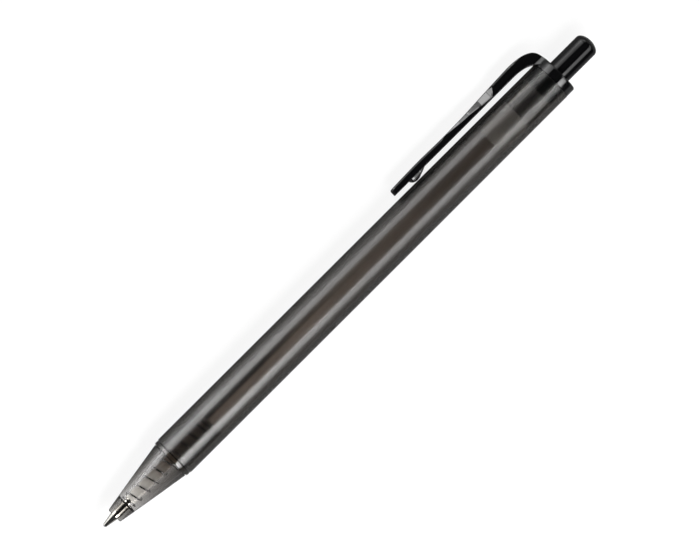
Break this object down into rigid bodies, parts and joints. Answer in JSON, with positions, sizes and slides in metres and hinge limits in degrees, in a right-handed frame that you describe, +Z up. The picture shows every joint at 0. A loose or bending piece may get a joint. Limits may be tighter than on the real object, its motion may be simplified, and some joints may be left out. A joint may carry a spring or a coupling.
{
  "type": "retractable ballpoint pen",
  "caption": "Slim click ballpoint pen with a smoke translucent barrel, clear tapered nose over a coil spring, black push button and springy pocket clip.",
  "frame": {"origin": "on the floor, below the middle of the pen's box as it lies at rest", "axes": "+X along the pen from the ball towards the push button, +Y the side that the clip is on, +Z up from the floor"},
  "size_m": [0.141, 0.013, 0.0095],
  "materials": {
    "smoke_barrel": "translucent smoke plastic, finely frosted",
    "smoke_nose": "clear smoke plastic, polished",
    "black_gloss": "polished black",
    "milky_plastic": "natural translucent",
    "natural_plastic": "natural white",
    "spring_steel": "drawn wire",
    "ink": "black oil ink",
    "tip_metal": "turned nickel silver",
    "ball_metal": "polished carbide"
  },
  "bodies": {
    "barrel": {"barrel": "smoke_barrel", "cam_sleeve": "milky_plastic", "clip_collar": "black_gloss", "return_spring": "spring_steel"},
    "nose": {"nose_cone": "smoke_nose"},
    "clip": {"clip_arm": "black_gloss"},
    "plunger": {"plunger": "black_gloss"},
    "refill": {"refill_tube": "milky_plastic", "refill_ink": "ink", "tip_holder": "milky_plastic", "tip_point": "tip_metal"},
    "ball": {"tip_ball": "ball_metal"},
    "rotor": {"cam_rotor": "natural_plastic"}
  },
  "joints": [
    {"name": "plunger_press", "type": "slide", "parent": "barrel", "child": "plunger", "axis": [1, 0, 0], "range_m": [-0.0012, 0.005], "stiffness_N_per_m": 200},
    {"name": "refill_slide", "type": "slide", "parent": "barrel", "child": "refill", "axis": [1, 0, 0], "range_m": [-0.0012, 0.005], "deforming": ["return_spring"]},
    {"name": "rotor_turn", "type": "hinge", "parent": "refill", "child": "rotor", "pos_m": [0.0453, -0.00178, 0.00475], "axis": [1, 0, 0], "continuous": true},
    {"name": "ball_roll", "type": "hinge", "parent": "refill", "child": "ball", "pos_m": [-0.07017, -0.00178, 0.00475], "axis": [0, 1, 0], "continuous": true},
    {"name": "clip_flex", "type": "hinge", "parent": "barrel", "child": "clip", "pos_m": [0.05496, 0.00476, 0.00226], "axis": [0, -0.3563, -0.9344], "range_deg": [0, 5], "stiffness_Nm_per_rad": 5},
    {"name": "nose_unscrew", "type": "slide", "parent": "barrel", "child": "nose", "axis": [-1, 0, 0], "range_m": [0, 0.012]}
  ],
  "couplings": [
    {"joint": "refill_slide", "follows": "plunger_press", "ratio": 1}
  ]
}
